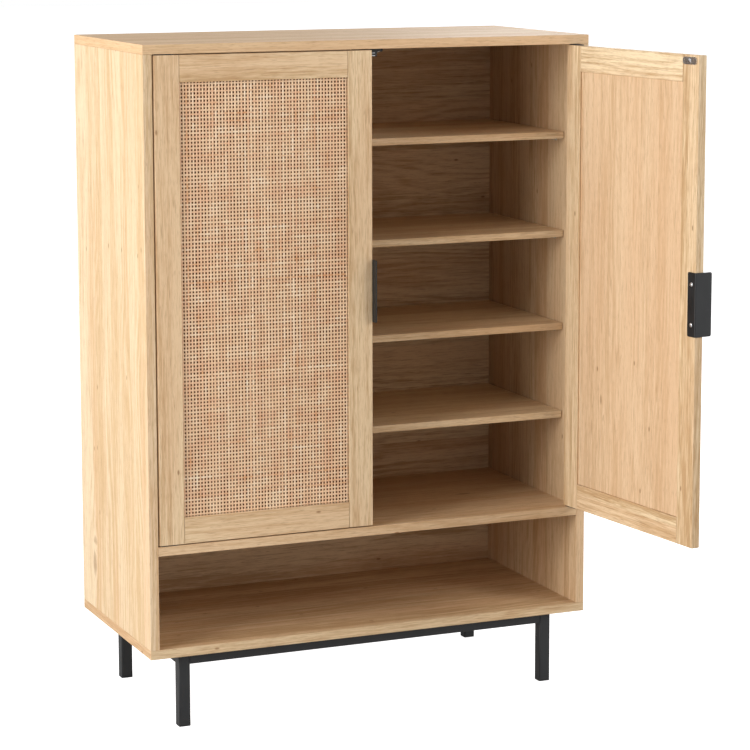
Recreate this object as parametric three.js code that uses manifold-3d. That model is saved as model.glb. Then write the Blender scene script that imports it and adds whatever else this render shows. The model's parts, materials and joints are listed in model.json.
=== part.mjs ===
// A tall oak shoe cabinet on a black steel base: an open compartment below, and above it four
// adjustable shelves behind two framed doors filled with woven cane. The left door is shut and
// the right one stands open. Millimetres, +Z up, the front faces -Y.
import * as THREE from "three";
import { mergeVertices } from "three/addons/utils/BufferGeometryUtils.js";
import Module from "manifold-3d";

const wasm = await Module();
wasm.setup();

// Carcass
const cabinetWidth = 800;
const cabinetDepth = 373;
const carcassHeight = 1011;
const board = 15.5; // thickness of the carcass boards
const openCompartment = 158; // clear height under the fixed shelf
const glueLine = 0.1; // between two pieces that are fixed together

// Back panel, in a groove all round
const backThickness = 5;
const backInset = 10; // from the rear of the carcass
const backTongue = 5.5; // how far it goes into the boards
const grooveSlack = 0.15; // on each face of a panel in its groove
const grooveEndSlack = 0.5; // past the panel's edge

// Adjustable shelves and their pins
const shelfThickness = 12;
const shelfSetback = 57; // from the front of the carcass
const shelfEndGap = 1.5; // to the side panel
const shelfBackGap = 1;
const shelfDrops = [3.5, 10.5, 11, 2.5]; // below an even spacing, from the lowest shelf up
const pinRadius = 2.5;
const pinInBoard = 8;
const pinUnderShelf = 7.5;
const pinCollarRadius = 4;
const pinCollar = 1.2;
const pinFromShelfEdge = 32;
const pinSegments = 12;
const holeSlack = 0.1; // on the radius of a bored hole
const holeEndSlack = 0.7; // past the end of the pin in it

// Doors
const doorThickness = 15;
const swingClearance = 0.6; // between a turning door's corner and the side panel
const doorEndGap = 2; // above and below each door
const doorCentreGap = 4.5;
const stileWidth = 43;
const railWidth = 44;
const frameJoint = 0.3; // between a rail and its stile
const hingeEdgeRadius = 2.5;
const tenonLength = 6;
const tenonShoulder = 10; // from the rail's outer edge
const panelThickness = 4;
const panelRecess = 2.5; // from the door's inner face
const caneThickness = 2;
const caneRecess = 3; // from the door's outer face
const infillTongue = 6; // of the panel and of the cane in the frame
const leftDoorOpening = 0; // degrees from shut
const rightDoorOpening = 96.4;

// Pivots in the doors' ends
const pivotInset = 8; // from the hinge edge to the axis
const pivotPinRadius = 2.5;
const pivotPinLength = 9;
const pivotPlateLength = 34;
const pivotPlateWidth = 12;
const pivotPlateThickness = 1.4;
const pivotBossRadius = 4.5;
const pivotBossHeight = 0.4;
const pivotSegments = 24;

// Handles, bent from sheet round the doors' free edges
const handleLength = 105;
const handleSheet = 1.8;
const handleFlange = 19.3;
const handleReach = 15.5; // past the door's outer face
const handleBendRadius = 2;
const handleCornerRadius = 3;
const handleScrewSpacing = 66;
const handleScrewInset = 11.2; // from the door's free edge
const handleHoleRadius = 2.2;

// Magnetic catch and its strikers
const strikerLength = 37;
const strikerWidth = 12;
const strikerThickness = 2;
const strikerFromFreeEdge = 23.2; // to its centre
const strikerFromTop = 9.2; // to its centre
const strikerHoleRadius = 1.8;
const catchGap = 0.5; // from a shut door's striker
const catchBaseWidth = 49;
const catchBaseThickness = 5.5;
const catchHousingWidth = 28;
const catchHeight = 13.5;
const catchDepth = 17;
const catchHoleRadius = 1.8;

// Base
const legHeight = 126; // floor to the carcass
const tube = 20;
const tubeWall = 1.5;
const tubeCornerRadius = 2;
const legInsetSide = 55;
const legInsetFront = 20.5;
const glidePad = 2;
const glidePlug = 12;
const glideSlack = 0.3;

const arcSteps = 2; // a quarter circle has twice as many
const overcut = 1; // a cutter stands this far proud of the face that it opens

// Sizes that follow from those above
const halfWidth = cabinetWidth / 2;
const halfDepth = cabinetDepth / 2;
const halfInside = halfWidth - board;
const fixedShelfTop = board + openCompartment + board;
const doorSpaceTop = carcassHeight - board;
const backPanelFront = halfDepth - backInset - backThickness;
const roundX = pivotInset - hingeEdgeRadius; // from the pivot axis to the rounding's centre
const roundY = doorThickness / 2 - hingeEdgeRadius;
const cornerSweep = Math.hypot(roundX, roundY) + hingeEdgeRadius;
const doorSideGap = cornerSweep - pivotInset + swingClearance;
const doorWidth = halfInside - doorSideGap - doorCentreGap / 2;
const doorHeight = doorSpaceTop - fixedShelfTop - 2 * doorEndGap;
const shelfFront = shelfSetback - halfDepth;
const shelfBack = backPanelFront - shelfBackGap;
const doorFreeEdge = doorWidth - pivotInset; // from the pivot axis
const doorPivotX = halfInside - doorSideGap - pivotInset;
const doorPivotY = doorThickness / 2 - halfDepth;

const paint = (color, roughness, metalness = 0) =>
  new THREE.MeshStandardMaterial({ color, roughness, metalness });
const oak = () => paint(0xd9b48c, 0.6);
const oakInside = () => paint(0xc9a074, 0.65);
const cane = () => paint(0xc29d7c, 0.7);
const blackSteel = () => paint(0x2b2c2d, 0.5, 0.6);
const zincSteel = () => paint(0xb9bcbe, 0.3, 1);
const blackPlastic = () => paint(0x1d1d1e, 0.45);

const v = (x, y, z) => new THREE.Vector3(x, y, z);

function addPiece(group, name, geometry, material, position = v(0, 0, 0)) {
  const mesh = new THREE.Mesh(geometry, material);
  mesh.name = name;
  mesh.position.copy(position);
  group.add(mesh);
}

// A closed geometry as a manifold-3d solid, and back.
function solidOf(geometry) {
  const bare = geometry.clone();
  bare.deleteAttribute("normal");
  bare.deleteAttribute("uv");
  const merged = mergeVertices(bare, 1e-4);
  return new wasm.Manifold(
    new wasm.Mesh({
      numProp: 3,
      vertProperties: new Float32Array(merged.attributes.position.array),
      triVerts: new Uint32Array(merged.index.array),
    }),
  );
}

function geometryOf(solid) {
  const mesh = solid.getMesh();
  const geometry = new THREE.BufferGeometry();
  geometry.setAttribute("position", new THREE.BufferAttribute(mesh.vertProperties, 3));
  geometry.setIndex(new THREE.BufferAttribute(mesh.triVerts, 1));
  geometry.computeVertexNormals();
  return geometry;
}

const combine = (method, first, others) =>
  geometryOf(others.reduce((made, other) => made[method](solidOf(other)), solidOf(first)));
const cut = (blank, cutters) => combine("subtract", blank, cutters);
const join = (first, others) => combine("add", first, others);
const trim = (blank, outlines) => combine("intersect", blank, outlines);

// A box given by its lowest and highest corners.
function block(low, high) {
  const size = high.clone().sub(low);
  const centre = high.clone().add(low).multiplyScalar(0.5);
  return new THREE.BoxGeometry(size.x, size.y, size.z).translate(centre.x, centre.y, centre.z);
}

// A board at its place in the group, with the cutters, given in the group's frame, taken out.
function addBoard(group, name, low, high, material, cutters = []) {
  const centre = high.clone().add(low).multiplyScalar(0.5);
  const local = (geometry) => geometry.translate(-centre.x, -centre.y, -centre.z);
  const blank = local(block(low, high));
  const shape = cutters.length ? cut(blank, cutters.map(local)) : blank;
  addPiece(group, name, shape, material, centre);
}

// A rectangle about the origin whose corners have the given radii: from -X -Y, anticlockwise.
function roundedRectangle(width, height, radii, shape = new THREE.Shape()) {
  const x = width / 2;
  const y = height / 2;
  const corners = [
    [-x, -y, 1, 1, Math.PI],
    [x, -y, -1, 1, 1.5 * Math.PI],
    [x, y, -1, -1, 0],
    [-x, y, 1, -1, 0.5 * Math.PI],
  ];
  // An arc draws the line that leads to it only after another curve, so a rounded corner goes first.
  const first = Math.max(0, radii.findIndex((radius) => radius > 0));
  for (let step = 0; step < corners.length; step += 1) {
    const i = (first + step) % corners.length;
    const [cornerX, cornerY, inX, inY, start] = corners[i];
    const radius = radii[i];
    if (radius > 0) {
      const centreX = cornerX + inX * radius;
      const centreY = cornerY + inY * radius;
      shape.absarc(centreX, centreY, radius, start, start + Math.PI / 2, false);
    } else if (step === 0) {
      shape.moveTo(cornerX, cornerY);
    } else {
      shape.lineTo(cornerX, cornerY);
    }
  }
  shape.closePath();
  return shape;
}

const extrude = (shape, depth) =>
  new THREE.ExtrudeGeometry(shape, { depth, bevelEnabled: false, curveSegments: arcSteps });

const bore = (radius, depth, segments) => new THREE.CylinderGeometry(radius, radius, depth, segments);

// ---- Carcass: boards round the doors' space and the open compartment ----

// The blind hole for a door's pivot pin, opening at z and going into the board along direction.
function pivotHole(side, z, direction) {
  const depth = pivotPinLength + holeEndSlack;
  const hole = bore(pivotPinRadius + holeSlack, depth + overcut, pivotSegments);
  hole.rotateX(Math.PI / 2);
  return hole.translate(side * doorPivotX, doorPivotY, z + (direction * (depth - overcut)) / 2);
}

// The height of the pins' axis under each shelf, from the lowest shelf up.
function shelfHeights() {
  const spaces = shelfDrops.length + 1;
  const clear = (doorSpaceTop - fixedShelfTop - shelfDrops.length * shelfThickness) / spaces;
  return shelfDrops.map((drop, i) => {
    const underside = fixedShelfTop + (i + 1) * clear + i * shelfThickness - drop;
    return { underside, pin: underside - glueLine - pinRadius };
  });
}

const pinRows = [
  ["front", shelfFront + pinFromShelfEdge],
  ["back", shelfBack - pinFromShelfEdge],
];

function pinHoles(side) {
  const depth = pinInBoard + holeEndSlack;
  const holes = [];
  for (const { pin } of shelfHeights()) {
    for (const [, y] of pinRows) {
      const hole = bore(pinRadius + holeSlack, depth + overcut, pinSegments);
      hole.rotateZ(-Math.PI / 2);
      holes.push(hole.translate(side * (halfInside + (depth - overcut) / 2), y, pin));
    }
  }
  return holes;
}

// The groove's space for the back panel, one slack larger than the panel all round.
function backGroove() {
  const reach = backTongue + grooveEndSlack;
  return block(
    v(-halfInside - reach, backPanelFront - grooveSlack, board - reach),
    v(halfInside + reach, backPanelFront + backThickness + grooveSlack, doorSpaceTop + reach),
  );
}

function makeCarcass() {
  const carcass = new THREE.Group();
  const front = -halfDepth;

  addBoard(
    carcass, "bottom_panel",
    v(-halfWidth, front, 0), v(halfWidth, halfDepth, board),
    oak(), [backGroove()],
  );
  addBoard(
    carcass, "top_panel",
    v(-halfWidth, front, doorSpaceTop), v(halfWidth, halfDepth, carcassHeight),
    oak(), [backGroove(), pivotHole(-1, doorSpaceTop, 1), pivotHole(1, doorSpaceTop, 1)],
  );
  for (const [side, word] of [[-1, "left"], [1, "right"]]) {
    const inner = side * halfInside;
    const outer = side * halfWidth;
    addBoard(
      carcass, `side_panel_${word}`,
      v(Math.min(inner, outer), front, board + glueLine),
      v(Math.max(inner, outer), halfDepth, doorSpaceTop - glueLine),
      oak(), [backGroove(), ...pinHoles(side)],
    );
  }
  addBoard(
    carcass, "fixed_shelf",
    v(-halfInside + glueLine, front, fixedShelfTop - board),
    v(halfInside - glueLine, backPanelFront - glueLine, fixedShelfTop),
    oak(), [pivotHole(-1, fixedShelfTop, -1), pivotHole(1, fixedShelfTop, -1)],
  );
  addBoard(
    carcass, "back_panel",
    v(-halfInside - backTongue, backPanelFront, board - backTongue),
    v(halfInside + backTongue, backPanelFront + backThickness, doorSpaceTop + backTongue),
    oakInside(),
  );
  return carcass;
}

// A turned steel pin along +X: the shank in the board, a collar on its face, the peg under the shelf.
function shelfPin() {
  const pegEnd = pinCollar + pinUnderShelf;
  const profile = [
    [0, -pinInBoard],
    [pinRadius, -pinInBoard],
    [pinRadius, 0],
    [pinCollarRadius, 0],
    [pinCollarRadius, pinCollar],
    [pinRadius, pinCollar],
    [pinRadius, pegEnd],
    [0, pegEnd],
  ];
  const points = profile.map(([radius, along]) => new THREE.Vector2(radius, along));
  return new THREE.LatheGeometry(points, pinSegments).rotateZ(-Math.PI / 2);
}

function addShelves(carcass) {
  shelfHeights().forEach(({ underside, pin }, i) => {
    const number = i + 1;
    addBoard(
      carcass, `shelf_${number}`,
      v(-halfInside + shelfEndGap, shelfFront, underside),
      v(halfInside - shelfEndGap, shelfBack, underside + shelfThickness),
      oakInside(),
    );
    for (const [side, word] of [[-1, "left"], [1, "right"]]) {
      for (const [row, y] of pinRows) {
        const geometry = shelfPin();
        if (side > 0) geometry.rotateZ(Math.PI);
        const place = v(side * (halfInside - glueLine), y, pin);
        addPiece(carcass, `shelf_pin_${number}_${row}_${word}`, geometry, zincSteel(), place);
      }
    }
  });
}

// A plastic housing with a screw ear on each side, under the top panel at the middle of the front.
function addCatch(carcass) {
  const front = doorThickness + strikerThickness + catchGap - halfDepth;
  const ceiling = -glueLine;
  const ears = block(
    v(-catchBaseWidth / 2, 0, ceiling - catchBaseThickness),
    v(catchBaseWidth / 2, catchDepth, ceiling),
  );
  const housing = block(
    v(-catchHousingWidth / 2, 0, ceiling - catchHeight),
    v(catchHousingWidth / 2, catchDepth, ceiling),
  );
  const earCentre = (catchBaseWidth + catchHousingWidth) / 4;
  const holes = [-1, 1].map((side) =>
    bore(catchHoleRadius, catchHeight, pinSegments)
      .rotateX(Math.PI / 2)
      .translate(side * earCentre, catchDepth / 2, ceiling - catchBaseThickness / 2),
  );
  const shape = geometryOf(
    holes.reduce(
      (made, hole) => made.subtract(solidOf(hole)),
      solidOf(ears).add(solidOf(housing)),
    ),
  );
  addPiece(carcass, "catch_housing", shape, blackPlastic(), v(0, front, doorSpaceTop));
}

// ---- Base: a welded frame of square tube with plastic glides ----

function squareTube(length) {
  const inner = tube - 2 * tubeWall;
  const innerRadii = Array(4).fill(tubeCornerRadius - tubeWall);
  const section = roundedRectangle(tube, tube, Array(4).fill(tubeCornerRadius));
  section.holes.push(roundedRectangle(inner, inner, innerRadii, new THREE.Path()));
  return extrude(section, length);
}

function makeBase() {
  const base = new THREE.Group();
  const legX = halfWidth - legInsetSide - tube / 2;
  const legY = halfDepth - legInsetFront - tube / 2;
  const top = legHeight - glueLine;
  const railZ = top - tube / 2;
  const inner = tube - 2 * (tubeWall + glideSlack);

  for (const [sideY, row] of [[-1, "front"], [1, "back"]]) {
    for (const [sideX, word] of [[-1, "left"], [1, "right"]]) {
      const place = v(sideX * legX, sideY * legY, glidePad + glueLine);
      const leg = squareTube(top - glidePad - glueLine);
      addPiece(base, `leg_${row}_${word}`, leg, blackSteel(), place);

      const pad = extrude(roundedRectangle(tube, tube, Array(4).fill(tubeCornerRadius)), glidePad);
      const plug = block(v(-inner / 2, -inner / 2, 0), v(inner / 2, inner / 2, glidePad + glidePlug));
      const glide = join(pad, [plug]);
      addPiece(base, `glide_${row}_${word}`, glide, blackPlastic(), v(place.x, place.y, 0));
    }
    const length = 2 * legX - tube - 2 * glueLine;
    const rail = squareTube(length).translate(0, 0, -length / 2).rotateY(Math.PI / 2);
    addPiece(base, `base_rail_${row}`, rail, blackSteel(), v(0, sideY * legY, railZ));
  }
  for (const [sideX, word] of [[-1, "left"], [1, "right"]]) {
    const length = 2 * legY - tube - 2 * glueLine;
    const rail = squareTube(length).translate(0, 0, -length / 2).rotateX(Math.PI / 2);
    addPiece(base, `base_rail_${word}`, rail, blackSteel(), v(sideX * legX, 0, railZ));
  }
  return base;
}

// ---- Doors: each in a group whose origin is its pivot axis at the door's lower end. Across the
// door, a distance from the axis towards the free edge is along; hand is -1 left and 1 right. ----

const panelFace = doorThickness / 2 - panelRecess; // towards the inside, +Y
const caneFace = caneRecess - doorThickness / 2; // towards the outside, -Y

const doorBlock = (hand, [along0, y0, z0], [along1, y1, z1]) =>
  block(
    v(Math.min(-hand * along0, -hand * along1), y0, z0),
    v(Math.max(-hand * along0, -hand * along1), y1, z1),
  );

// The space for the inner panel and the rails' tenons, and the space for the cane's edge.
function infillGrooves(hand, slack) {
  const edge = infillTongue + grooveEndSlack;
  const hingeSide = stileWidth - pivotInset - edge;
  const freeSide = doorFreeEdge - stileWidth + edge;
  const lower = railWidth - edge;
  const upper = doorHeight - railWidth + edge;
  return [
    doorBlock(
      hand,
      [hingeSide, panelFace - panelThickness - slack, lower],
      [freeSide, panelFace + slack, upper],
    ),
    doorBlock(
      hand,
      [hingeSide, caneFace - slack, lower],
      [freeSide, caneFace + caneThickness + slack, upper],
    ),
  ];
}

// The mortises in the stiles, where the rails' tenons go.
function mortises(hand) {
  const reach = tenonLength + grooveEndSlack;
  const hingeSide = stileWidth - pivotInset - reach;
  const freeSide = doorFreeEdge - stileWidth + reach;
  return [
    [tenonShoulder - grooveEndSlack, railWidth],
    [doorHeight - railWidth, doorHeight - tenonShoulder + grooveEndSlack],
  ].map(([low, high]) =>
    doorBlock(
      hand,
      [hingeSide, panelFace - panelThickness - grooveSlack, low],
      [freeSide, panelFace + grooveSlack, high],
    ),
  );
}

function stile(hand, along0, radii) {
  const ordered = hand > 0 ? [radii[1], radii[0], radii[3], radii[2]] : radii;
  const outline = roundedRectangle(stileWidth, doorThickness, ordered);
  const blank = extrude(outline, doorHeight);
  blank.translate(-hand * (along0 + stileWidth / 2), 0, 0);
  return cut(blank, [...infillGrooves(hand, grooveSlack), ...mortises(hand)]);
}

function rail(hand, low, tenonLow) {
  const start = stileWidth - pivotInset + frameJoint;
  const end = doorFreeEdge - stileWidth - frameJoint;
  const tenonHigh = tenonLow + railWidth - tenonShoulder - infillTongue - 2 * grooveEndSlack;
  const half = doorThickness / 2;
  const blank = doorBlock(hand, [start, -half, low], [end, half, low + railWidth]);
  const tenons = doorBlock(
    hand,
    [start - tenonLength, panelFace - panelThickness, tenonLow],
    [end + tenonLength, panelFace, tenonHigh],
  );
  return cut(join(blank, [tenons]), infillGrooves(hand, grooveSlack));
}

// A steel plate on the door's end with a boss and a pin along the axis, upwards or downwards.
function pivot(hand, direction) {
  const radius = pivotPlateWidth / 2;
  const outline = roundedRectangle(pivotPlateLength, pivotPlateWidth, Array(4).fill(radius - 1));
  const plate = extrude(outline, pivotPlateThickness);
  plate.translate(-hand * (pivotPlateLength / 2 - radius), 0, 0);
  const bossTop = pivotPlateThickness + pivotBossHeight;
  const gapTop = doorEndGap - glueLine;
  const profile = [
    [0, pivotPlateThickness / 2],
    [pivotBossRadius, pivotPlateThickness / 2],
    [pivotBossRadius, bossTop],
    [pivotPinRadius, bossTop],
    [pivotPinRadius, gapTop + pivotPinLength],
    [0, gapTop + pivotPinLength],
  ];
  const points = profile.map(([x, y]) => new THREE.Vector2(x, y));
  const pin = new THREE.LatheGeometry(points, pivotSegments).rotateX(Math.PI / 2);
  const made = join(plate, [pin]);
  return direction > 0 ? made : made.rotateX(Math.PI);
}

// Bent sheet: a flange on the door's inner face and a plate round its free edge that stands out
// past the outer face as the grip. The free corners are rounded.
function handle(hand) {
  const inside = doorThickness / 2 + glueLine;
  const flangeBack = inside + handleSheet;
  const edge = doorFreeEdge + glueLine;
  const grip = -doorThickness / 2 - handleReach;
  const gripDepth = flangeBack - grip;
  const flangeWidth = edge + handleSheet - (doorFreeEdge - handleFlange);
  const outlineCentreX = edge + handleSheet - flangeWidth / 2;
  const outlineCentreY = grip + gripDepth / 2;

  const bendRadii = [0, 0, handleBendRadius, 0];
  const radii = hand > 0 ? [0, 0, 0, handleBendRadius] : bendRadii;
  const outer = extrude(roundedRectangle(flangeWidth, gripDepth, radii), handleLength);
  outer.translate(-hand * outlineCentreX, outlineCentreY, -handleLength / 2);
  const inner = doorBlock(
    hand,
    [doorFreeEdge - handleFlange - overcut, grip - overcut, -handleLength],
    [edge, inside, handleLength],
  );

  const round = handleCornerRadius;
  const flangeRadii = hand > 0 ? [0, round, round, 0] : [round, 0, 0, round];
  const flangeOutline = extrude(
    roundedRectangle(flangeWidth, handleLength, flangeRadii),
    gripDepth + 2 * overcut,
  );
  flangeOutline.rotateX(Math.PI / 2);
  flangeOutline.translate(-hand * outlineCentreX, flangeBack + overcut, 0);
  const gripOutline = extrude(
    roundedRectangle(handleLength, gripDepth, [round, round, 0, 0]),
    flangeWidth + 2 * overcut,
  );
  gripOutline.rotateY(Math.PI / 2);
  gripOutline.translate(
    -hand * outlineCentreX - flangeWidth / 2 - overcut,
    outlineCentreY,
    0,
  );
  const holes = [-1, 1].map((end) =>
    bore(handleHoleRadius, 4 * handleSheet, pinSegments).translate(
      -hand * (doorFreeEdge - handleScrewInset),
      inside,
      (end * handleScrewSpacing) / 2,
    ),
  );
  return cut(trim(outer, [flangeOutline, gripOutline]), [inner, ...holes]);
}

function striker() {
  const outline = roundedRectangle(strikerLength, strikerWidth, Array(4).fill(strikerWidth / 2 - 0.5));
  const plate = extrude(outline, strikerThickness).rotateX(-Math.PI / 2);
  return cut(plate, [bore(strikerHoleRadius, 4 * strikerThickness, pinSegments)]);
}

function makeDoor(word, hand, opening) {
  const door = new THREE.Group();
  door.position.set(hand * doorPivotX, doorPivotY, fixedShelfTop + doorEndGap);
  door.rotation.z = hand * THREE.MathUtils.degToRad(opening);

  const round = hingeEdgeRadius;
  addPiece(door, `hinge_stile_${word}`, stile(hand, -pivotInset, [round, 0, 0, round]), oak());
  addPiece(door, `free_stile_${word}`, stile(hand, doorFreeEdge - stileWidth, [0, 0, 0, 0]), oak());
  const upperRail = doorHeight - railWidth;
  const upperTenon = upperRail + infillTongue + 2 * grooveEndSlack;
  addPiece(door, `bottom_rail_${word}`, rail(hand, 0, tenonShoulder), oak());
  addPiece(door, `top_rail_${word}`, rail(hand, upperRail, upperTenon), oak());

  const hingeSide = stileWidth - pivotInset - infillTongue;
  const freeSide = doorFreeEdge - stileWidth + infillTongue;
  const low = railWidth - infillTongue;
  const high = doorHeight - low;
  const panel = doorBlock(
    hand, [hingeSide, panelFace - panelThickness, low], [freeSide, panelFace, high],
  );
  addPiece(door, `inner_panel_${word}`, panel, oak());
  const webbing = doorBlock(
    hand, [hingeSide, caneFace, low], [freeSide, caneFace + caneThickness, high],
  );
  addPiece(door, `cane_webbing_${word}`, webbing, cane());

  const abovePlace = v(0, 0, doorHeight + glueLine);
  addPiece(door, `upper_pivot_${word}`, pivot(hand, 1), blackSteel(), abovePlace);
  addPiece(door, `lower_pivot_${word}`, pivot(hand, -1), blackSteel(), v(0, 0, -glueLine));

  addPiece(door, `handle_${word}`, handle(hand), blackSteel(), v(0, 0, doorHeight / 2));
  const strikerPlace = v(
    -hand * (doorFreeEdge - strikerFromFreeEdge),
    doorThickness / 2 + glueLine,
    doorHeight - strikerFromTop,
  );
  addPiece(door, `striker_${word}`, striker(), zincSteel(), strikerPlace);
  return door;
}

// ---- Assembly, with the origin under the middle of everything, on the floor ----

const cabinet = new THREE.Group();
const upper = makeCarcass();
upper.position.z = legHeight;
addShelves(upper);
addCatch(upper);
upper.add(makeDoor("left", -1, leftDoorOpening));
upper.add(makeDoor("right", 1, rightDoorOpening));
cabinet.add(makeBase(), upper);

const bounds = new THREE.Box3().setFromObject(cabinet, true);
const middle = bounds.getCenter(new THREE.Vector3());
cabinet.position.set(-middle.x, -middle.y, -bounds.min.z);

export default cabinet;
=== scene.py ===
import json
import math
import random

import bmesh
import bpy
from mathutils import Matrix, Vector


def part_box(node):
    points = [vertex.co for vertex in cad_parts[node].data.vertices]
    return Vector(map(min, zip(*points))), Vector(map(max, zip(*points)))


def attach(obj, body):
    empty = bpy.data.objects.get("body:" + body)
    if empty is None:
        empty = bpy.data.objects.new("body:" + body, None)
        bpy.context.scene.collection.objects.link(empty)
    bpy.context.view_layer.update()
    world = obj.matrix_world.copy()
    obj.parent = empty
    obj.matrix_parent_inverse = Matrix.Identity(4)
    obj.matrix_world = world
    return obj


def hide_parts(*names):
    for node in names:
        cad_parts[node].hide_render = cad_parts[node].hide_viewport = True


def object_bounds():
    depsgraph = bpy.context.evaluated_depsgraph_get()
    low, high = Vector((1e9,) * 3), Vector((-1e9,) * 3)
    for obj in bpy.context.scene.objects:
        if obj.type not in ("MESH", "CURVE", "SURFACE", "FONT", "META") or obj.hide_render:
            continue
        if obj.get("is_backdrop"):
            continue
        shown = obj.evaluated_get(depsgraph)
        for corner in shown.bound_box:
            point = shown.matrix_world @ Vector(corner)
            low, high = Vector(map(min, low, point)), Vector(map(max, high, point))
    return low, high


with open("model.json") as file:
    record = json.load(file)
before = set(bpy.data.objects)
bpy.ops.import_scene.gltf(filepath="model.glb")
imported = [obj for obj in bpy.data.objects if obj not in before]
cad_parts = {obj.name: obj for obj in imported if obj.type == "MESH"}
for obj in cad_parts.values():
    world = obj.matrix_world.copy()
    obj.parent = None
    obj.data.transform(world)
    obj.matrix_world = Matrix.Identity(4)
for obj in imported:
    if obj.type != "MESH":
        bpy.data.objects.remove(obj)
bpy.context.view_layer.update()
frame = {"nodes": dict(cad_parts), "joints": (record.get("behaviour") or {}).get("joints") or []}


# ---- Camera ----
# A long lens from the front and a little to the left, just above the height of the top panel,
# so that the left side, the top and the inner face of the open door all show.
camera_lens = bpy.data.cameras.new("camera")
camera_lens.sensor_width = 36
camera_lens.lens = 129.65
camera_lens.shift_y = -0.1
camera_lens.clip_end = 200
camera = bpy.data.objects.new("camera", camera_lens)
bpy.context.scene.collection.objects.link(camera)
camera_place = (-1.7714, -4.1177, 1.3631)
camera_heading_degrees = -23.098
camera_tilt_down_degrees = 8.404
camera_roll_degrees = -0.108
camera.matrix_world = (
    Matrix.Translation(camera_place)
    @ Matrix.Rotation(math.radians(camera_heading_degrees), 4, "Z")
    @ Matrix.Rotation(math.radians(90 - camera_tilt_down_degrees), 4, "X")
    @ Matrix.Rotation(math.radians(camera_roll_degrees), 4, "Z")
)
bpy.context.scene.camera = camera
bpy.context.scene.view_settings.view_transform = "Standard"


# ---- Studio ----
# A white floor that runs on into a white room. One broad softbox stands to the left of the
# cabinet, a fill at the front right and a third behind it, and the room gives the rest of the
# light. Floor and room are brighter to the eye than they are to the cabinet.
def tinted(red, green, blue):
    """A colour given in the eight-bit steps of a colour picker, as the shaders take it."""
    steps = (red / 255, green / 255, blue / 255)
    linear = [s / 12.92 if s <= 0.04045 else ((s + 0.055) / 1.055) ** 2.4 for s in steps]
    return (*linear, 1.0)


def add_node(tree, kind, feeds, **settings):
    """A shader node in the tree. Each socket that feeds names is linked, or set to a value."""
    made = tree.nodes.new("ShaderNode" + kind)
    for setting, value in settings.items():
        setattr(made, setting, value)
    for socket, feed in feeds.items():
        if isinstance(feed, bpy.types.NodeSocket):
            tree.links.new(feed, made.inputs[socket])
        else:
            made.inputs[socket].default_value = feed
    return made


def new_material(name):
    """A material with only its output and a Principled shader, and that shader and its tree."""
    material = bpy.data.materials.new(name)
    material.use_nodes = True
    tree = material.node_tree
    tree.nodes.clear()
    shader = add_node(tree, "BsdfPrincipled", {})
    add_node(tree, "OutputMaterial", {"Surface": shader.outputs[0]})
    return material, tree, shader


floor_material, floor_tree, floor_shader = new_material("studio floor")
floor_dust = add_node(floor_tree, "TexNoise", {"Scale": 3.0, "Detail": 4.0})
floor_level = add_node(
    floor_tree, "MapRange", {0: floor_dust.outputs[0], 3: 0.50, 4: 0.56}
)
floor_tree.links.new(floor_level.outputs[0], floor_shader.inputs["Roughness"])
floor_shader.inputs["Base Color"].default_value = (0.62, 0.62, 0.62, 1)
floor_shader.inputs["Emission Color"].default_value = (1, 1, 1, 1)
glow_when_seen = 0.88
floor_seen = add_node(floor_tree, "LightPath", {}).outputs["Is Camera Ray"]
floor_glow = add_node(floor_tree, "MapRange", {0: floor_seen, 3: 0.0, 4: glow_when_seen})
floor_tree.links.new(floor_glow.outputs[0], floor_shader.inputs["Emission Strength"])

floor_plan = bmesh.new()
floor_reach = 30
bmesh.ops.create_grid(floor_plan, x_segments=1, y_segments=1, size=floor_reach)
floor_mesh = bpy.data.meshes.new("floor")
floor_plan.to_mesh(floor_mesh)
floor_plan.free()
floor_mesh.materials.append(floor_material)
floor = bpy.data.objects.new("floor", floor_mesh)
bpy.context.scene.collection.objects.link(floor)
floor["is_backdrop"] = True

room = bpy.data.worlds.new("room")
room.use_nodes = True
room_tree = room.node_tree
room_tree.nodes.clear()
room_as_light = 0.33
room_in_gloss = 0.75
room_when_seen = 1.0
ray = add_node(room_tree, "LightPath", {}).outputs
mirrored = add_node(
    room_tree, "MapRange", {0: ray["Is Glossy Ray"], 3: room_as_light, 4: room_in_gloss}
)
room_light = add_node(
    room_tree,
    "MapRange",
    {0: ray["Is Camera Ray"], 3: mirrored.outputs[0], 4: room_when_seen},
)
room_shader = add_node(
    room_tree, "Background", {"Color": (1, 1, 1, 1), "Strength": room_light.outputs[0]}
)
add_node(room_tree, "OutputWorld", {"Surface": room_shader.outputs[0]})
bpy.context.scene.world = room

softbox_aim = Vector((0, 0, 0.6))
for name, place, width, height, watts in (
    ("main softbox", (-3.12, -0.62, 1.60), 2.2, 2.2, 120),
    ("fill softbox", (3.2, -2.9, 2.2), 2.0, 2.0, 94),
    ("rear softbox", (2.6, 3.4, 2.4), 2.0, 2.0, 46),
):
    lamp = bpy.data.lights.new(name, "AREA")
    lamp.shape = "RECTANGLE"
    lamp.size = width
    lamp.size_y = height
    lamp.energy = watts
    softbox = bpy.data.objects.new(name, lamp)
    bpy.context.scene.collection.objects.link(softbox)
    softbox.location = place
    towards = softbox_aim - Vector(place)
    softbox.rotation_euler = towards.to_track_quat("-Z", "Y").to_euler()


# ---- Carcass ----
# Oak-veneered boards with edge bands: a top and a bottom of full size, two sides between them,
# a fixed shelf under the doors, and a thin back let into a groove all round. Each board's own
# place in the veneer is kept on its faces, so that the grain runs along it whichever way it lies.
# The model stands with its right door open, so the doors' pieces are made shut and turned back.
hinges = {joint["child"]: Vector(joint["pos_m"]) for joint in frame["joints"]}
door_opening = {"left_door": 0.0, "right_door": math.radians(96.4)}
same_place = 2e-5


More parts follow.
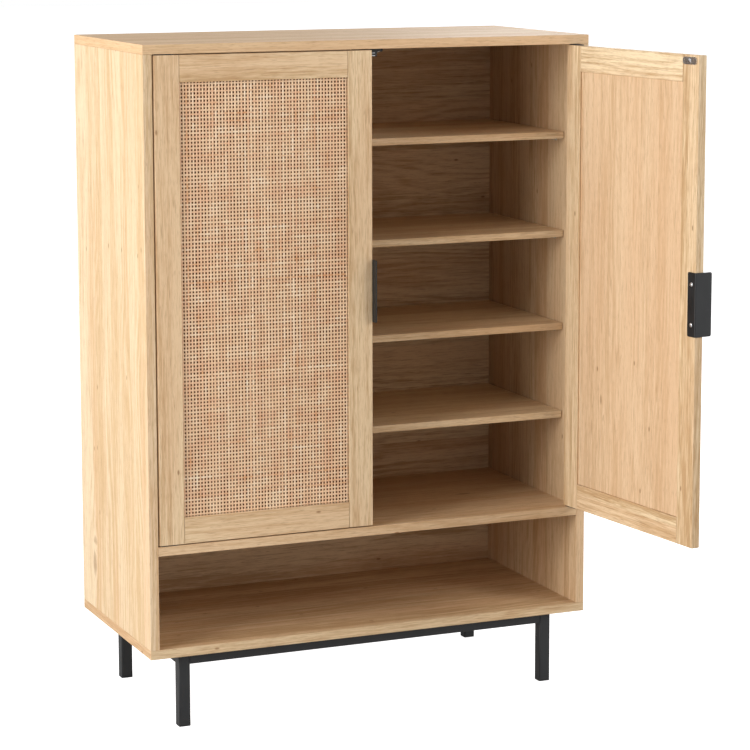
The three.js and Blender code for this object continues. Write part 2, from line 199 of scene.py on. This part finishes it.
def to_shut(body):
    """The turn that brings a body's pieces to where they are with both doors shut."""
    if body not in hinges:
        return Matrix.Identity(4)
    hinge = Matrix.Translation(hinges[body])
    return hinge @ Matrix.Rotation(-door_opening[body], 4, "Z") @ hinge.inverted()


def closed_copy(node, body):
    """The shell of a CAD node with both doors shut, its loose triangles merged into faces."""
    shell = bmesh.new()
    shell.from_mesh(frame["nodes"][node].data)
    shell.transform(to_shut(body))
    bmesh.ops.remove_doubles(shell, verts=shell.verts, dist=same_place)
    flat_within = math.radians(0.3)
    bmesh.ops.dissolve_limit(
        shell, angle_limit=flat_within, verts=shell.verts, edges=shell.edges
    )
    return shell


def extent(shell):
    """The lowest and highest corner of a shell."""
    spans = [sorted(vert.co[axis] for vert in shell.verts) for axis in range(3)]
    return Vector(s[0] for s in spans), Vector(s[-1] for s in spans)


def finished_piece(name, shell, body, materials, stands_for=()):
    """The shell as a visible piece on its body, all its faces shaded smooth, with the CAD parts
    that it stands for hidden.
    """
    shell.transform(to_shut(body).inverted())
    for face in shell.faces:
        face.smooth = True
    mesh = bpy.data.meshes.new(name)
    shell.to_mesh(mesh)
    shell.free()
    for material in materials:
        mesh.materials.append(material)
    made = bpy.data.objects.new(name, mesh)
    bpy.context.scene.collection.objects.link(made)
    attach(made, body)
    if stands_for:
        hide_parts(*stands_for)
    return made


def ease_edges(shell, edges, width):
    """Rounds these edges over, and joins the corners that it brings together."""
    bmesh.ops.bevel(
        shell,
        geom=edges,
        offset=width,
        offset_type="OFFSET",
        affect="EDGES",
        segments=2,
        profile=0.5,
        material=-1,
        clamp_overlap=True,
    )
    brought_together = 1e-6
    bmesh.ops.remove_doubles(shell, verts=shell.verts, dist=brought_together)


def flat_shading_kept(made):
    """Flat faces stay flat to the light, and only the eased edges between them turn it."""
    weighted = made.modifiers.new("flat faces", "WEIGHTED_NORMAL")
    weighted.mode = "FACE_AREA"
    weighted.weight = 100
    weighted.keep_sharp = True


def outer_arrises(shell):
    """The edges where two outer faces of a board meet."""
    low, high = extent(shell)

    def sides(vert):
        return {
            (axis, end)
            for axis in range(3)
            for end, limit in enumerate((low, high))
            if abs(vert.co[axis] - limit[axis]) < same_place
        }

    return [e for e in shell.edges if len(sides(e.verts[0]) & sides(e.verts[1])) == 2]


board_dice = random.Random(41)


def board(node, body, along, material, arris=0.0005, back=None, joint=0.0):
    """A board of oak: the CAD solid with its arrises eased and its place in the veneer. The
    shoulders of a tenoned board stand back by joint, which leaves a hairline at the stiles."""
    shell = closed_copy(node, body)
    low, high = extent(shell)
    size = high - low
    if joint:
        tenon_end = 0.0005
        for vert in shell.verts:
            from_left, from_right = vert.co.x - low.x, high.x - vert.co.x
            if min(from_left, from_right) > tenon_end:
                vert.co.x += joint if from_left < from_right else -joint
    thick, across = sorted({0, 1, 2} - {along}, key=lambda axis: size[axis])
    ease_edges(shell, outer_arrises(shell), arris)
    grain = shell.loops.layers.float_vector.new("grain")
    facing_front = -0.9
    shift = [Vector(board_dice.uniform(3, 40) for _ in range(3)) for _ in range(3)]
    for face in shell.faces:
        normal = [abs(n) for n in face.normal]
        facing = normal.index(max(normal))
        if facing == along:
            run, width, cut = across, thick, 0
        elif facing == across:
            run, width, cut = along, thick, 1
        else:
            run, width, cut = along, across, 2
        for loop in face.loops:
            place = loop.vert.co - low
            loop[grain] = Vector((place[run], place[width], 0)) + shift[cut]
        # Faces towards the front take the second material; for the door panels that is the
        # painted shade behind the cane.
        if back and face.normal.y < facing_front:
            face.material_index = 1
    materials = [material(shift[2])] if callable(material) else [material]
    if back:
        materials.append(back)
    made = finished_piece("oak_" + node, shell, body, materials, [node])
    flat_shading_kept(made)


def new_group(name, takes, gives):
    """An empty node group with these sockets, and its tree, its feeds and its output node."""
    tree = bpy.data.node_groups.new(name, "ShaderNodeTree")
    for way, sockets in (("INPUT", takes), ("OUTPUT", gives)):
        for socket, kind in sockets:
            tree.interface.new_socket(socket, in_out=way, socket_type="NodeSocket" + kind)
    feeds = tree.nodes.new("NodeGroupInput").outputs
    return tree, feeds, tree.nodes.new("NodeGroupOutput")


def placed_group(tree, group, feeds):
    """A node group put into a material's tree."""
    made = tree.nodes.new("ShaderNodeGroup")
    made.node_tree = group
    for socket, feed in feeds.items():
        if isinstance(feed, bpy.types.NodeSocket):
            tree.links.new(feed, made.inputs[socket])
        else:
            made.inputs[socket].default_value = feed
    return made.outputs


def maths(tree, operation, *feeds):
    """The outcome of one sum on numbers."""
    return add_node(tree, "Math", dict(enumerate(feeds)), operation=operation).outputs[0]


def vector_maths(tree, operation, *feeds):
    """The outcome of one sum on vectors."""
    return add_node(
        tree, "VectorMath", dict(enumerate(feeds)), operation=operation
    ).outputs[0]


def stretched_noise(tree, vector, rates, detail=2.0, roughness=0.5):
    """Noise that runs at these rates per metre along, across and through the wood."""
    scaled = vector_maths(tree, "MULTIPLY", vector, rates)
    return add_node(
        tree,
        "TexNoise",
        {"Vector": scaled, "Scale": 1.0, "Detail": detail, "Roughness": roughness},
    ).outputs[0]


def remapped(tree, value, low, high, to_low=0.0, to_high=1.0, smooth=True):
    """A value taken from one range to another, with soft ends unless smooth is off."""
    return add_node(
        tree,
        "MapRange",
        {0: value, 1: low, 2: high, 3: to_low, 4: to_high},
        interpolation_type="SMOOTHSTEP" if smooth else "LINEAR",
    ).outputs[0]


def mixed_colours(tree, share, first, second):
    """A share of the second colour mixed into the first."""
    return add_node(
        tree, "Mix", {0: share, 6: first, 7: second}, data_type="RGBA"
    ).outputs[2]


# The oak itself: broad bands and growth rings, finer streaks and fibres, open pores, and now
# and then a pin knot. The veneer is laid in staves, each cut from another part of the tree.
oak_group, oak_in, oak_out = new_group(
    "oak veneer",
    [
        ("Grain", "Vector"),
        ("Stave Width", "Float"),
        ("Figure", "Float"),
        ("Pale", "Color"),
        ("Ripe", "Color"),
    ],
    [("Colour", "Color"), ("Relief", "Float"), ("Gloss", "Float")],
)
across_only = add_node(oak_group, "SeparateXYZ", {0: oak_in["Grain"]}).outputs[1]
stave = maths(
    oak_group, "FLOOR", maths(oak_group, "DIVIDE", across_only, oak_in["Stave Width"])
)
stave_cast = add_node(oak_group, "TexWhiteNoise", {"W": stave}, noise_dimensions="1D")
stave_shift = (9.0, 0.03, 5.0)
stave_place = vector_maths(
    oak_group,
    "ADD",
    oak_in["Grain"],
    vector_maths(oak_group, "MULTIPLY", stave_cast.outputs[1], stave_shift),
)
bands = remapped(
    oak_group, stretched_noise(oak_group, stave_place, (0.9, 19, 19), 3), 0.3, 0.7
)
rings_per_metre = 62.0
rings_swayed = 13.0
sway = stretched_noise(oak_group, stave_place, (1.5, 6.5, 6.5), 2)
ring_count = maths(
    oak_group,
    "ADD",
    maths(oak_group, "MULTIPLY", sway, rings_swayed),
    maths(oak_group, "MULTIPLY", across_only, rings_per_metre),
)
rings = maths(oak_group, "SINE", maths(oak_group, "MULTIPLY", ring_count, math.tau))
ring_strength = remapped(
    oak_group, stretched_noise(oak_group, stave_place, (2.1, 11, 11), 1), 0.38, 0.66
)
streaks = stretched_noise(oak_group, stave_place, (5.5, 190, 190), 4, 0.62)
fibres = stretched_noise(oak_group, stave_place, (30, 520, 520), 3)
pores = remapped(
    oak_group, stretched_noise(oak_group, stave_place, (60, 1500, 1500), 1), 0.60, 0.72
)
flecks = remapped(
    oak_group, stretched_noise(oak_group, stave_place, (24, 430, 430), 2), 0.58, 0.74
)
blush = remapped(
    oak_group, stretched_noise(oak_group, stave_place, (1.3, 13, 13), 2), 0.40, 0.66
)
pins_per_metre = (9, 21, 0)
cells_without_pin = 0.86
pin_place = vector_maths(oak_group, "MULTIPLY", stave_place, pins_per_metre)
pin = add_node(
    oak_group, "TexVoronoi", {"Vector": pin_place, "Scale": 1.0}, voronoi_dimensions="2D"
)
pin_chosen = maths(
    oak_group,
    "GREATER_THAN",
    add_node(oak_group, "SeparateXYZ", {0: pin.outputs["Color"]}).outputs[0],
    cells_without_pin,
)
pins = maths(
    oak_group,
    "MULTIPLY",
    remapped(oak_group, pin.outputs["Distance"], 0.055, 0.018),
    pin_chosen,
)
band_share = 0.95
streak_share = 2.50
fibre_share = 2.00
ripeness_start = 2.27
ripeness = maths(
    oak_group,
    "ADD",
    maths(oak_group, "MULTIPLY", bands, band_share),
    maths(oak_group, "MULTIPLY", streaks, streak_share),
)
ripeness = maths(
    oak_group,
    "ADD",
    ripeness,
    maths(
        oak_group,
        "MULTIPLY",
        maths(oak_group, "MULTIPLY", rings, ring_strength),
        oak_in["Figure"],
    ),
)
ripeness = maths(
    oak_group, "ADD", ripeness, maths(oak_group, "MULTIPLY", fibres, fibre_share)
)
ripeness = maths(oak_group, "SUBTRACT", ripeness, ripeness_start)
ripeness = add_node(oak_group, "Clamp", {0: ripeness}).outputs[0]
wood = mixed_colours(oak_group, ripeness, oak_in["Pale"], oak_in["Ripe"])
stave_tone = remapped(oak_group, stave_cast.outputs[0], 0, 1, 0.0, 0.30, smooth=False)
wood = mixed_colours(oak_group, stave_tone, wood, oak_in["Ripe"])
blush_strength = 0.35
blush_share = maths(oak_group, "MULTIPLY", blush, blush_strength)
wood = mixed_colours(oak_group, blush_share, wood, tinted(214, 171, 130))
dark_marks = 0.0
for marks, strength in ((flecks, 0.42), (pores, 0.5), (pins, 0.8)):
    marked = maths(oak_group, "MULTIPLY", marks, strength)
    dark_marks = maths(oak_group, "MAXIMUM", dark_marks, marked)
wood = mixed_colours(oak_group, dark_marks, wood, tinted(150, 108, 70))
oak_group.links.new(wood, oak_out.inputs["Colour"])
fibre_height = 0.6
pore_depth = 0.8
relief = maths(
    oak_group,
    "SUBTRACT",
    maths(oak_group, "MULTIPLY", fibres, fibre_height),
    maths(oak_group, "MULTIPLY", pores, pore_depth),
)
oak_group.links.new(relief, oak_out.inputs["Relief"])
oak_group.links.new(
    remapped(oak_group, ripeness, 0, 1, 0.52, 0.64, smooth=False), oak_out.inputs["Gloss"]
)

# A knot: the grain parts to go round it, and its heart is dark.
knot_group, knot_in, knot_out = new_group(
    "oak knot",
    [("Grain", "Vector"), ("Place", "Vector"), ("Size", "Float"), ("Length", "Float")],
    [("Grain", "Vector"), ("Heart", "Float")],
)
off_centre = vector_maths(knot_group, "SUBTRACT", knot_in["Grain"], knot_in["Place"])
off_parts = add_node(knot_group, "SeparateXYZ", {0: off_centre}).outputs
off_along = maths(knot_group, "DIVIDE", off_parts[0], knot_in["Length"])
off_across = maths(knot_group, "DIVIDE", off_parts[1], knot_in["Size"])
spread = maths(
    knot_group,
    "ADD",
    maths(knot_group, "MULTIPLY", off_along, off_along),
    maths(knot_group, "MULTIPLY", off_across, off_across),
)
parting_fall = -0.22
parting_push = -0.86
parting = maths(
    knot_group, "EXPONENT", maths(knot_group, "MULTIPLY", spread, parting_fall)
)
aside = maths(
    knot_group,
    "MULTIPLY",
    maths(knot_group, "MULTIPLY", off_parts[1], parting),
    parting_push,
)
aside_vector = add_node(knot_group, "CombineXYZ", {1: aside}).outputs[0]
knot_group.links.new(
    vector_maths(knot_group, "ADD", knot_in["Grain"], aside_vector),
    knot_out.inputs["Grain"],
)
raggedness = 0.9
ragged = stretched_noise(knot_group, off_centre, (60, 260, 60), 3)
heart = maths(
    knot_group, "ADD", spread, maths(knot_group, "MULTIPLY", ragged, raggedness)
)
knot_group.links.new(remapped(knot_group, heart, 1.15, 0.35), knot_out.inputs["Heart"])


def oak(name, pale, ripe, stave_width=0.075, figure=0.22, knots=(), origin=(0, 0, 0)):
    """Oak under a matt lacquer. A knot is given by its place along and across the board, its
    half width, its half length and how dark its heart is. Origin is the board's own shift in
    the veneer."""
    material, tree, shader = new_material(name)
    grain = add_node(tree, "Attribute", {}, attribute_name="grain").outputs["Vector"]
    hearts = []
    for along, across, size, length, dark in knots:
        place = Vector((along, across, 0)) + Vector(origin)
        knot = placed_group(
            tree,
            knot_group,
            {"Grain": grain, "Place": place, "Size": size, "Length": length},
        )
        grain = knot["Grain"]
        hearts.append(maths(tree, "MULTIPLY", knot["Heart"], dark))
    veneer = placed_group(
        tree,
        oak_group,
        {
            "Grain": grain,
            "Stave Width": stave_width,
            "Figure": figure,
            "Pale": pale,
            "Ripe": ripe,
        },
    )
    colour = veneer["Colour"]
    for heart in hearts:
        colour = mixed_colours(tree, heart, colour, tinted(150, 112, 76))
    tree.links.new(colour, shader.inputs["Base Color"])
    tree.links.new(veneer["Gloss"], shader.inputs["Roughness"])
    shader.inputs["Specular IOR Level"].default_value = 0.35
    pore_relief = 0.00012
    bump = add_node(
        tree,
        "Bump",
        {"Height": veneer["Relief"], "Distance": pore_relief, "Strength": 0.5},
    )
    tree.links.new(bump.outputs[0], shader.inputs["Normal"])
    return material


right_oak = oak("right side oak", tinted(218, 189, 151), tinted(186, 148, 106))
top_oak = oak("top panel oak", tinted(226, 194, 153), tinted(205, 169, 127), 0.075, 0.14)
bottom_oak = oak("bottom panel oak", tinted(222, 195, 156), tinted(185, 149, 108))
back_oak = oak("back panel oak", tinted(236, 212, 177), tinted(188, 155, 116), 0.09, 0.40)


def left_side_oak(origin):
    """The left side has one clear knot low down and the traces of others above it."""
    knots = [
        (0.080, 0.303, 0.0150, 0.034, 0.70),
        (0.122, 0.300, 0.0070, 0.012, 0.50),
        (0.268, 0.255, 0.0045, 0.020, 0.30),
        (0.820, 0.330, 0.0070, 0.030, 0.35),
    ]
    pale = tinted(230, 207, 173)
    ripe = tinted(204, 172, 130)
    return oak("left side oak", pale, ripe, 0.19, 0.48, knots, origin)


def fixed_shelf_oak(origin):
    """The fixed shelf has a small knot near the open door."""
    knots = [(0.63, 0.17, 0.007, 0.022, 0.7)]
    pale = tinted(228, 198, 160)
    ripe = tinted(203, 166, 124)
    return oak("fixed shelf oak", pale, ripe, 0.09, 0.22, knots, origin)


board("top_panel", "cabinet", 0, top_oak)
board("bottom_panel", "cabinet", 0, bottom_oak)
board("side_panel_left", "cabinet", 2, left_side_oak)
board("side_panel_right", "cabinet", 2, right_oak)
board("fixed_shelf", "cabinet", 0, fixed_shelf_oak)
board("back_panel", "cabinet", 0, back_oak)


# ---- Adjustable shelves ----
# Four thinner oak boards set back from the front, each lying on four steel pins whose shanks
# are pushed into holes bored in the sides.
shelf_oak = oak("shelf oak", tinted(237, 211, 173), tinted(211, 179, 137), 0.085, 0.2)
shelf_arris = 0.0006
for number in range(1, 5):
    board(f"shelf_{number}", "cabinet", 0, shelf_oak, shelf_arris)

bright_steel, steel_tree, steel_shader = new_material("zinc-plated steel")
steel_spot = add_node(steel_tree, "TexCoord", {}).outputs["Object"]
steel_cloud = stretched_noise(steel_tree, steel_spot, (240, 240, 240), 3)
steel_scratch = stretched_noise(steel_tree, steel_spot, (4000, 900, 900), 2)
steel_tree.links.new(
    mixed_colours(
        steel_tree, steel_cloud, tinted(196, 198, 201), tinted(226, 227, 229)
    ),
    steel_shader.inputs["Base Color"],
)
steel_tree.links.new(
    remapped(steel_tree, steel_scratch, 0.3, 0.7, 0.18, 0.34),
    steel_shader.inputs["Roughness"],
)
scratch_depth = 0.00002
steel_bump = add_node(
    steel_tree,
    "Bump",
    {"Height": steel_scratch, "Distance": scratch_depth, "Strength": 0.4},
)
steel_tree.links.new(steel_bump.outputs[0], steel_shader.inputs["Normal"])
steel_shader.inputs["Metallic"].default_value = 1.0

for node in frame["nodes"]:
    if node.startswith("shelf_pin"):
        frame["nodes"][node].material_slots[0].material = bright_steel


# ---- Doors ----
# Solid oak frames: two stiles of full height with upright grain, and two rails between them
# with level grain, tenoned in. A thin upright-grained panel lies in a groove at the back. Its
# hidden face, behind the cane, is coloured dark brown: painted shade, so that the open weave
# reads clearly.
door_oak = oak("door frame oak", tinted(239, 215, 177), tinted(191, 154, 110), 0.5, 0.22)


def door_panel_oak(origin):
    """The thin panels have a small knot at one side of the lower half."""
    knots = [(0.165, 0.232, 0.0045, 0.013, 0.75), (0.135, 0.226, 0.003, 0.010, 0.5)]
    pale = tinted(229, 198, 161)
    ripe = tinted(205, 168, 128)
    return oak("door panel oak", pale, ripe, 0.072, 0.24, knots, origin)


# Painted shade: the panel's face behind the cane is oak lying in shade, given here as a dark
# brown colour.
painted_shade_backing, backing_tree, backing_shader = new_material("painted shade backing")
backing_grain = add_node(backing_tree, "Attribute", {}, attribute_name="grain").outputs[1]
backing_streak = stretched_noise(backing_tree, backing_grain, (14, 300, 300), 3)
backing_tree.links.new(
    mixed_colours(
        backing_tree, backing_streak, tinted(122, 68, 29), tinted(94, 50, 18)
    ),
    backing_shader.inputs["Base Color"],
)
backing_tree.links.new(
    remapped(backing_tree, backing_streak, 0, 1, 0.6, 0.8),
    backing_shader.inputs["Roughness"],
)
backing_shader.inputs["Specular IOR Level"].default_value = 0.1

stile_arris = 0.0008
rail_arris = 0.0010
panel_arris = 0.0003
hairline = 0.0004
for word in ("left", "right"):
    body = word + "_door"
    for stile in ("hinge_stile_", "free_stile_"):
        board(stile + word, body, 2, door_oak, stile_arris)
    for rail in ("top_rail_", "bottom_rail_"):
        board(rail + word, body, 0, door_oak, rail_arris, joint=hairline)
    panel = "inner_panel_" + word
    board(panel, body, 2, door_panel_oak, panel_arris, painted_shade_backing)


# ---- Cane webbing ----
# A square open weave of flat cane strands, each of its own width and tone, going over and under
# in turn. Its edge is held in a groove in the frame, a few millimetres behind the outer face.
strand_pitch_across = 0.0056
strand_pitch_up = 0.0061
strand_width = 0.0028
strand_thickness = 0.0005
strand_lift = 0.00035
strand_stray = 0.00009
strand_width_spread = (0.86, 1.12)
strand_edge_spread = (0.95, 1.05)
strand_tone_middle = 0.42
strand_tone_spread = 0.24

cane_material, cane_tree, cane_shader = new_material("woven cane")
cane_place = add_node(cane_tree, "Attribute", {}, attribute_name="cane").outputs["Vector"]
cane_parts = add_node(cane_tree, "SeparateXYZ", {0: cane_place}).outputs
cane_run = stretched_noise(cane_tree, cane_place, (9, 1, 3), 3, 0.6)
cane_spot = add_node(cane_tree, "TexCoord", {}).outputs["Object"]
cane_patch = stretched_noise(cane_tree, cane_spot, (34, 34, 34), 3, 0.6)
tone_start = 0.42
cane_tone = maths(cane_tree, "SUBTRACT", 0.0, tone_start)
for cast, share in ((cane_parts[2], 0.42), (cane_run, 0.5), (cane_patch, 0.95)):
    cane_tone = maths(
        cane_tree, "ADD", cane_tone, maths(cane_tree, "MULTIPLY", cast, share)
    )
cane_ramp = add_node(cane_tree, "ValToRGB", {0: cane_tone})
stops = cane_ramp.color_ramp.elements
stops.remove(stops[1])
stops[0].position = 0.12
stops[0].color = tinted(255, 234, 207)
for position, colour in (
    (0.34, tinted(249, 215, 178)),
    (0.50, tinted(242, 202, 162)),
    (0.64, tinted(240, 193, 156)),
    (0.78, tinted(232, 178, 131)),
    (0.92, tinted(224, 157, 106)),
):
    stops.new(position).color = colour
fibre_darkening = 0.25
cane_fibre = stretched_noise(cane_tree, cane_place, (400, 50, 3), 2)
cane_tree.links.new(
    mixed_colours(
        cane_tree,
        maths(cane_tree, "MULTIPLY", cane_fibre, fibre_darkening),
        cane_ramp.outputs[0],
        tinted(190, 146, 104),
    ),
    cane_shader.inputs["Base Color"],
)
cane_tree.links.new(
    remapped(cane_tree, cane_run, 0.3, 0.7, 0.42, 0.6), cane_shader.inputs["Roughness"]
)
fibre_relief = 0.0001
cane_bump = add_node(
    cane_tree, "Bump", {"Height": cane_fibre, "Distance": fibre_relief, "Strength": 0.4}
)
cane_tree.links.new(cane_bump.outputs[0], cane_shader.inputs["Normal"])


def strands(shell, dice, low, high, run, number, pitch, crossing):
    """One set of strands. Run is the axis that they follow, pitch is their spacing, and
    crossing is the spacing of the other set, which they go over and under in turn."""
    side = 2 - run
    length = high[run] - low[run]
    steps = 2 * round(length / crossing)
    layer = shell.verts.layers.float_vector.new("cane")
    next_strand = 1.7
    next_edge = 0.02
    middle = (low.y + high.y) / 2
    for index in range(number):
        centre = low[side] + (index + 0.5) * pitch + dice.gauss(0, strand_stray)
        width = strand_width * dice.uniform(*strand_width_spread)
        tone = dice.gauss(strand_tone_middle, strand_tone_spread)
        tone = min(1.0, max(0.0, tone))
        strip = bmesh.ops.create_grid(shell, x_segments=1, y_segments=steps, size=0.5)
        for vert in strip["verts"]:
            share = vert.co.y + 0.5
            edge = vert.co.x * 2
            turn = math.pi * (share * steps / 2 - 0.5 + index)
            lift = strand_lift * math.cos(turn)
            ragged = width * dice.uniform(*strand_edge_spread) / 2
            place = [0.0, middle + (lift if run == 2 else -lift), 0.0]
            place[run] = low[run] + share * length
            place[side] = centre + edge * ragged
            vert.co = place
            vert[layer] = (share * length, index * next_strand + edge * next_edge, tone)


for word in ("left", "right"):
    body = word + "_door"
    space = closed_copy(f"cane_webbing_{word}", body)
    low, high = extent(space)
    space.free()
    columns = round((high.x - low.x) / strand_pitch_across)
    rows = round((high.z - low.z) / strand_pitch_up)
    pitch_x = (high.x - low.x) / columns
    pitch_z = (high.z - low.z) / rows
    cane_dice = random.Random(7 if word == "left" else 8)
    for name, run, number, pitch, crossing in (
        ("upright", 2, columns, pitch_x, pitch_z),
        ("level", 0, rows, pitch_z, pitch_x),
    ):
        shell = bmesh.new()
        strands(shell, cane_dice, low, high, run, number, pitch, crossing)
        made = finished_piece(
            f"cane_{name}_{word}",
            shell,
            body,
            [cane_material],
            [f"cane_webbing_{word}"],
        )
        thickness = made.modifiers.new("strand thickness", "SOLIDIFY")
        thickness.thickness = strand_thickness
        thickness.offset = 0


# ---- Base ----
# Square steel tube, welded and powder-coated black: four legs, two long rails and two short
# ones under the carcass. A plastic glide is pushed into the foot of each leg.
coat_group, coat_in, coat_out = new_group(
    "powder coat",
    [("Place", "Vector"), ("Dark", "Color"), ("Light", "Color")],
    [("Colour", "Color"), ("Gloss", "Float"), ("Relief", "Float")],
)
coat_peel = stretched_noise(coat_group, coat_in["Place"], (900, 900, 900), 2)
coat_cloud = stretched_noise(coat_group, coat_in["Place"], (35, 35, 35), 3)
coat_group.links.new(
    mixed_colours(coat_group, coat_cloud, coat_in["Dark"], coat_in["Light"]),
    coat_out.inputs["Colour"],
)
coat_group.links.new(
    remapped(coat_group, coat_cloud, 0.3, 0.7, 0.40, 0.52), coat_out.inputs["Gloss"]
)
coat_group.links.new(coat_peel, coat_out.inputs["Relief"])


def coated(name, dark, light, depth):
    """A material with the powder coat's mottle and fine orange peel."""
    material, tree, shader = new_material(name)
    place = add_node(tree, "TexCoord", {}).outputs["Object"]
    coat = placed_group(tree, coat_group, {"Place": place, "Dark": dark, "Light": light})
    tree.links.new(coat["Colour"], shader.inputs["Base Color"])
    tree.links.new(coat["Gloss"], shader.inputs["Roughness"])
    bump = add_node(
        tree, "Bump", {"Height": coat["Relief"], "Distance": depth, "Strength": 0.5}
    )
    tree.links.new(bump.outputs[0], shader.inputs["Normal"])
    return material


peel = 0.00006
mould_grain = 0.00003
black_steel = coated("black powder coat", tinted(23, 24, 26), tinted(33, 34, 36), peel)
handle_black = coated("handle powder coat", tinted(15, 16, 18), tinted(23, 24, 26), peel)
black_plastic = coated("black plastic", tinted(20, 20, 21), tinted(27, 27, 28), mould_grain)


def steel_part(node, body, material, easing=0.0):
    """A metal or plastic part: the CAD solid with smooth roundings, its sharp edges eased."""
    shell = closed_copy(node, body)
    if easing:
        sharp_from = math.radians(50)
        sharp = [e for e in shell.edges if e.calc_face_angle(0) > sharp_from]
        ease_edges(shell, sharp, easing)
    name = material.name.replace(" ", "_").replace("-", "_") + "_" + node
    made = finished_piece(name, shell, body, [material], [node])
    flat_shading_kept(made)


for node in sorted(frame["nodes"]):
    if node.startswith(("leg_", "base_rail_")):
        steel_part(node, "cabinet", black_steel)
    if node.startswith("glide_"):
        frame["nodes"][node].material_slots[0].material = black_plastic
    if node.startswith(("upper_pivot_", "lower_pivot_")):
        frame["nodes"][node].material_slots[0].material = black_steel


# ---- Screws ----
# Zinc-plated pan heads with a cross recess. They hold the handles, the strikers and the catch.
def screw_head(name, place, facing, radius, height, body):
    """A domed head on a surface, at a place given with both doors shut."""
    shell = bmesh.new()
    cells = 7
    dome = 0.45
    recess_depth = 0.55
    recess_draft = 0.02
    skirt_depth = 0.0002
    crisp_from = math.radians(40)
    bmesh.ops.create_grid(shell, x_segments=cells, y_segments=cells, size=1)
    recess = []
    for face in shell.faces:
        spot = face.calc_center_median() * cells / 2
        column, row = round(abs(spot.x)), round(abs(spot.y))
        if min(column, row) == 0 and max(column, row) <= 2:
            recess.append(face)
    for vert in shell.verts:
        x, y = vert.co.x, vert.co.y
        round_x = x * math.sqrt(1 - y * y / 2)
        round_y = y * math.sqrt(1 - x * x / 2)
        fall = round_x**2 + round_y**2
        vert.co = (round_x * radius, round_y * radius, height * (1 - dome * fall))
    bmesh.ops.inset_region(
        shell,
        faces=recess,
        thickness=radius * recess_draft,
        depth=-height * recess_depth,
    )
    rim = [edge for edge in shell.edges if edge.is_boundary]
    skirt = bmesh.ops.extrude_edge_only(shell, edges=rim)["geom"]
    for vert in (part for part in skirt if isinstance(part, bmesh.types.BMVert)):
        vert.co.z = -skirt_depth
    bottom = [edge for edge in shell.edges if edge.is_boundary]
    bmesh.ops.holes_fill(shell, edges=bottom, sides=0)
    bmesh.ops.recalc_face_normals(shell, faces=shell.faces)
    turn = facing.to_track_quat("Z", "Y").to_matrix().to_4x4()
    shell.transform(Matrix.Translation(place) @ turn)
    made = finished_piece(name, shell, body, [bright_steel])
    made.data.set_sharp_from_angle(angle=crisp_from)


# ---- Handles ----
# Steel sheet bent into an angle and powder-coated black. One leg is screwed to the door's inner
# face, and the other goes round the free edge and stands out in front as the grip.
handle_screw_spacing = 0.066
handle_screw_inset = 0.0108
handle_screw_radius = 0.0036
handle_screw_height = 0.0018
handle_easing = 0.0003
inward = Vector((0, 1, 0))
for word, hand in (("left", -1), ("right", 1)):
    body = word + "_door"
    space = closed_copy(f"handle_{word}", body)
    low, high = extent(space)
    space.free()
    steel_part(f"handle_{word}", body, handle_black, handle_easing)
    outer_edge = high.x if hand < 0 else low.x
    for end, where in ((-1, "lower"), (1, "upper")):
        place = Vector(
            (
                outer_edge + hand * handle_screw_inset,
                high.y,
                (low.z + high.z) / 2 + end * handle_screw_spacing / 2,
            )
        )
        screw_head(
            f"handle_screw_{where}_{word}",
            place,
            inward,
            handle_screw_radius,
            handle_screw_height,
            body,
        )


# ---- Magnetic catch and strikers ----
# A black plastic housing under the top panel, screwed up through its two ears, with a magnet
# between two steel poles. Each door has a steel striker plate that lands on it.
housing_easing = 0.0005
steel_part("catch_housing", "cabinet", black_plastic, housing_easing)
catch_low, catch_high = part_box("catch_housing")
catch_middle = (catch_low + catch_high) / 2
pole_width = 0.0214
pole_height = 0.0013
pole_depth = 0.006
pole_reach = 0.0001
pole_easing = 0.0002
for name, drop in (("upper", 0.0077), ("lower", 0.0121)):
    pole = bmesh.new()
    bmesh.ops.create_cube(pole, size=1)
    bmesh.ops.scale(pole, vec=(pole_width, pole_depth, pole_height), verts=pole.verts)
    ease_edges(pole, list(pole.edges), pole_easing)
    pole_place = (
        catch_middle.x,
        catch_low.y - pole_reach + pole_depth / 2,
        catch_high.z - drop,
    )
    bmesh.ops.translate(pole, vec=pole_place, verts=pole.verts)
    made = finished_piece(
        f"catch_pole_{name}", pole, "cabinet", [bright_steel]
    )
    flat_shading_kept(made)
ear_spacing = 0.0385
ear_thickness = 0.0055
catch_screw_radius = 0.0032
catch_screw_height = 0.0015
downward = Vector((0, 0, -1))
for side, name in ((-1, "left"), (1, "right")):
    place = Vector(
        (
            catch_middle.x + side * ear_spacing / 2,
            catch_middle.y,
            catch_high.z - ear_thickness,
        )
    )
    screw_head(
        f"catch_screw_{name}",
        place,
        downward,
        catch_screw_radius,
        catch_screw_height,
        "cabinet",
    )

striker_screw_radius = 0.0036
striker_screw_height = 0.0012
striker_easing = 0.0004
for word in ("left", "right"):
    body = word + "_door"
    space = closed_copy(f"striker_{word}", body)
    low, high = extent(space)
    space.free()
    steel_part(f"striker_{word}", body, bright_steel, striker_easing)
    place = Vector(((low.x + high.x) / 2, high.y, (low.z + high.z) / 2))
    screw_head(
        f"striker_screw_{word}",
        place,
        inward,
        striker_screw_radius,
        striker_screw_height,
        body,
    )


# ---- Bounds ----
# The box round every visible piece, the floor left out.
low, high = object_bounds()
